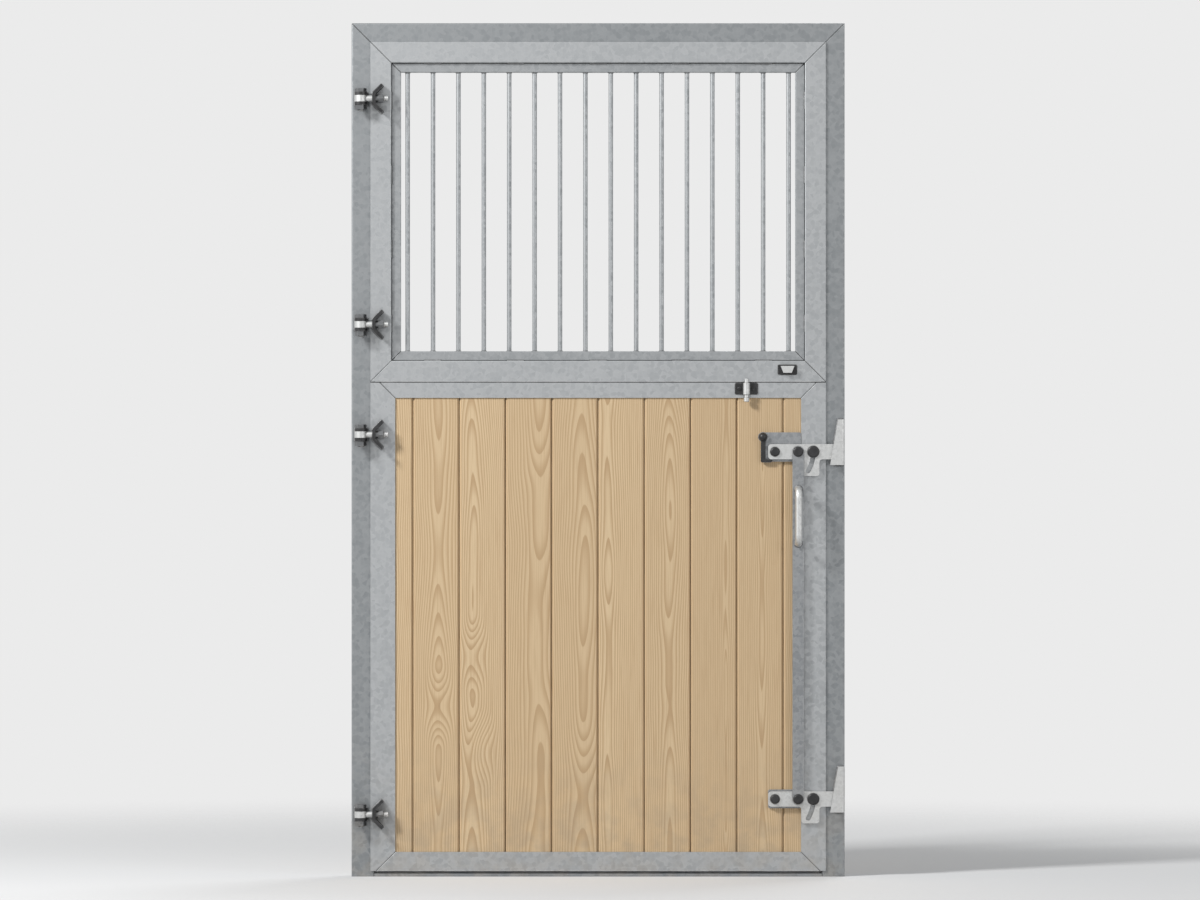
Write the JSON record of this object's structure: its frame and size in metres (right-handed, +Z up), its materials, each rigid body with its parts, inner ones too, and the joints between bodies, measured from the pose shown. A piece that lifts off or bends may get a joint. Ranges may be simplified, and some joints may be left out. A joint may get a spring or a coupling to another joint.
{
  "type": "dutch stable door",
  "caption": "Split stable door in a steel frame: barred upper leaf, timber-boarded lower leaf, adjustable eye hinges, a lever latch at two heights, a safety catch and a connecting bolt.",
  "frame": {"origin": "middle of the threshold's underside on the floor, halfway through the frame's depth", "axes": "+Z up, -Y out of the front where the leaves open, +X from the hinge side to the latch side"},
  "size_m": [1.3, 0.14, 2.25],
  "materials": {
    "galvanised": "hot-dip galvanised, matt grey",
    "timber": "planed, oiled softwood",
    "black_steel": "satin black powder coat",
    "rubber": "matt black seal"
  },
  "bodies": {
    "frame": {"frame_head": "galvanised", "frame_left_jamb": "galvanised", "frame_right_jamb": "galvanised", "threshold": "galvanised", "upper_hinge_clevises": "black_steel", "lower_hinge_clevises": "black_steel", "hinge_bolts": "galvanised", "hinge_nuts": "galvanised", "upper_keeper": "galvanised", "lower_keeper": "galvanised"},
    "upper_leaf": {"upper_hinge_stile": "galvanised", "upper_latch_stile": "galvanised", "upper_top_rail": "galvanised", "upper_bottom_rail": "galvanised", "grille_left": "galvanised", "grille_right": "galvanised", "grille_top": "galvanised", "grille_bottom": "galvanised", "grille_bars": "galvanised", "finger_pull": "galvanised", "pull_plate": "black_steel", "upper_eye_bolts": "galvanised", "upper_hinge_wings": "black_steel", "upper_stem_nuts": "galvanised"},
    "lower_leaf": {"board_1": "timber", "board_10": "timber", "board_2": "timber", "board_3": "timber", "board_4": "timber", "board_5": "timber", "board_6": "timber", "board_7": "timber", "board_8": "timber", "board_9": "timber", "bolt_plate": "black_steel", "bolt_plate_screws": "black_steel", "bolt_sleeve": "galvanised", "latch_guide_pins": "black_steel", "latch_pivot_nuts": "galvanised", "latch_pivots": "black_steel", "lower_bottom_rail": "galvanised", "lower_eye_bolts": "galvanised", "lower_hinge_stile": "galvanised", "lower_hinge_wings": "black_steel", "lower_latch_backing": "galvanised", "lower_latch_stile": "galvanised", "lower_stem_nuts": "galvanised", "lower_top_rail": "galvanised", "meeting_seal": "rubber", "upper_latch_backing": "galvanised"},
    "upper_latch": {"upper_latch_bar": "galvanised"},
    "lower_latch": {"lower_latch_bar": "galvanised"},
    "lift_bar": {"lift_bar": "galvanised", "lift_bar_pins": "black_steel", "lift_handle": "galvanised"},
    "leaf_bolt": {"leaf_bolt": "galvanised"},
    "safety_catch": {"safety_catch": "black_steel"}
  },
  "joints": [
    {"name": "lower_leaf_swing", "type": "hinge", "parent": "frame", "child": "lower_leaf", "pos_m": [-0.625, -0.06, 0.665], "axis": [0, 0, -1], "range_deg": [0, 170]},
    {"name": "upper_leaf_swing", "type": "hinge", "parent": "frame", "child": "upper_leaf", "pos_m": [-0.625, -0.06, 1.7525], "axis": [0, 0, -1], "range_deg": [0, 170]},
    {"name": "upper_latch_lift", "type": "hinge", "parent": "lower_leaf", "child": "upper_latch", "pos_m": [0.466, -0.041, 1.12], "axis": [0, -1, 0], "range_deg": [0, 30]},
    {"name": "lower_latch_lift", "type": "hinge", "parent": "lower_leaf", "child": "lower_latch", "pos_m": [0.466, -0.041, 0.205], "axis": [0, -1, 0], "range_deg": [0, 30]},
    {"name": "lift_bar_turn", "type": "hinge", "parent": "upper_latch", "child": "lift_bar", "pos_m": [0.527, -0.049, 1.12], "axis": [0, -1, 0], "range_deg": [-30, 0]},
    {"name": "leaf_bolt_slide", "type": "slide", "parent": "lower_leaf", "child": "leaf_bolt", "axis": [0, 0, 1], "range_m": [-0.02, 0]},
    {"name": "safety_catch_turn", "type": "hinge", "parent": "lower_leaf", "child": "safety_catch", "pos_m": [0.4347, -0.04, 1.1588], "axis": [0, 1, 0], "range_deg": [0, 30]}
  ],
  "couplings": [
    {"joint": "lower_latch_lift", "follows": "upper_latch_lift", "ratio": 1},
    {"joint": "lift_bar_turn", "follows": "upper_latch_lift", "ratio": -1},
    {"joint": "safety_catch_turn", "follows": "upper_latch_lift", "ratio": 1}
  ]
}
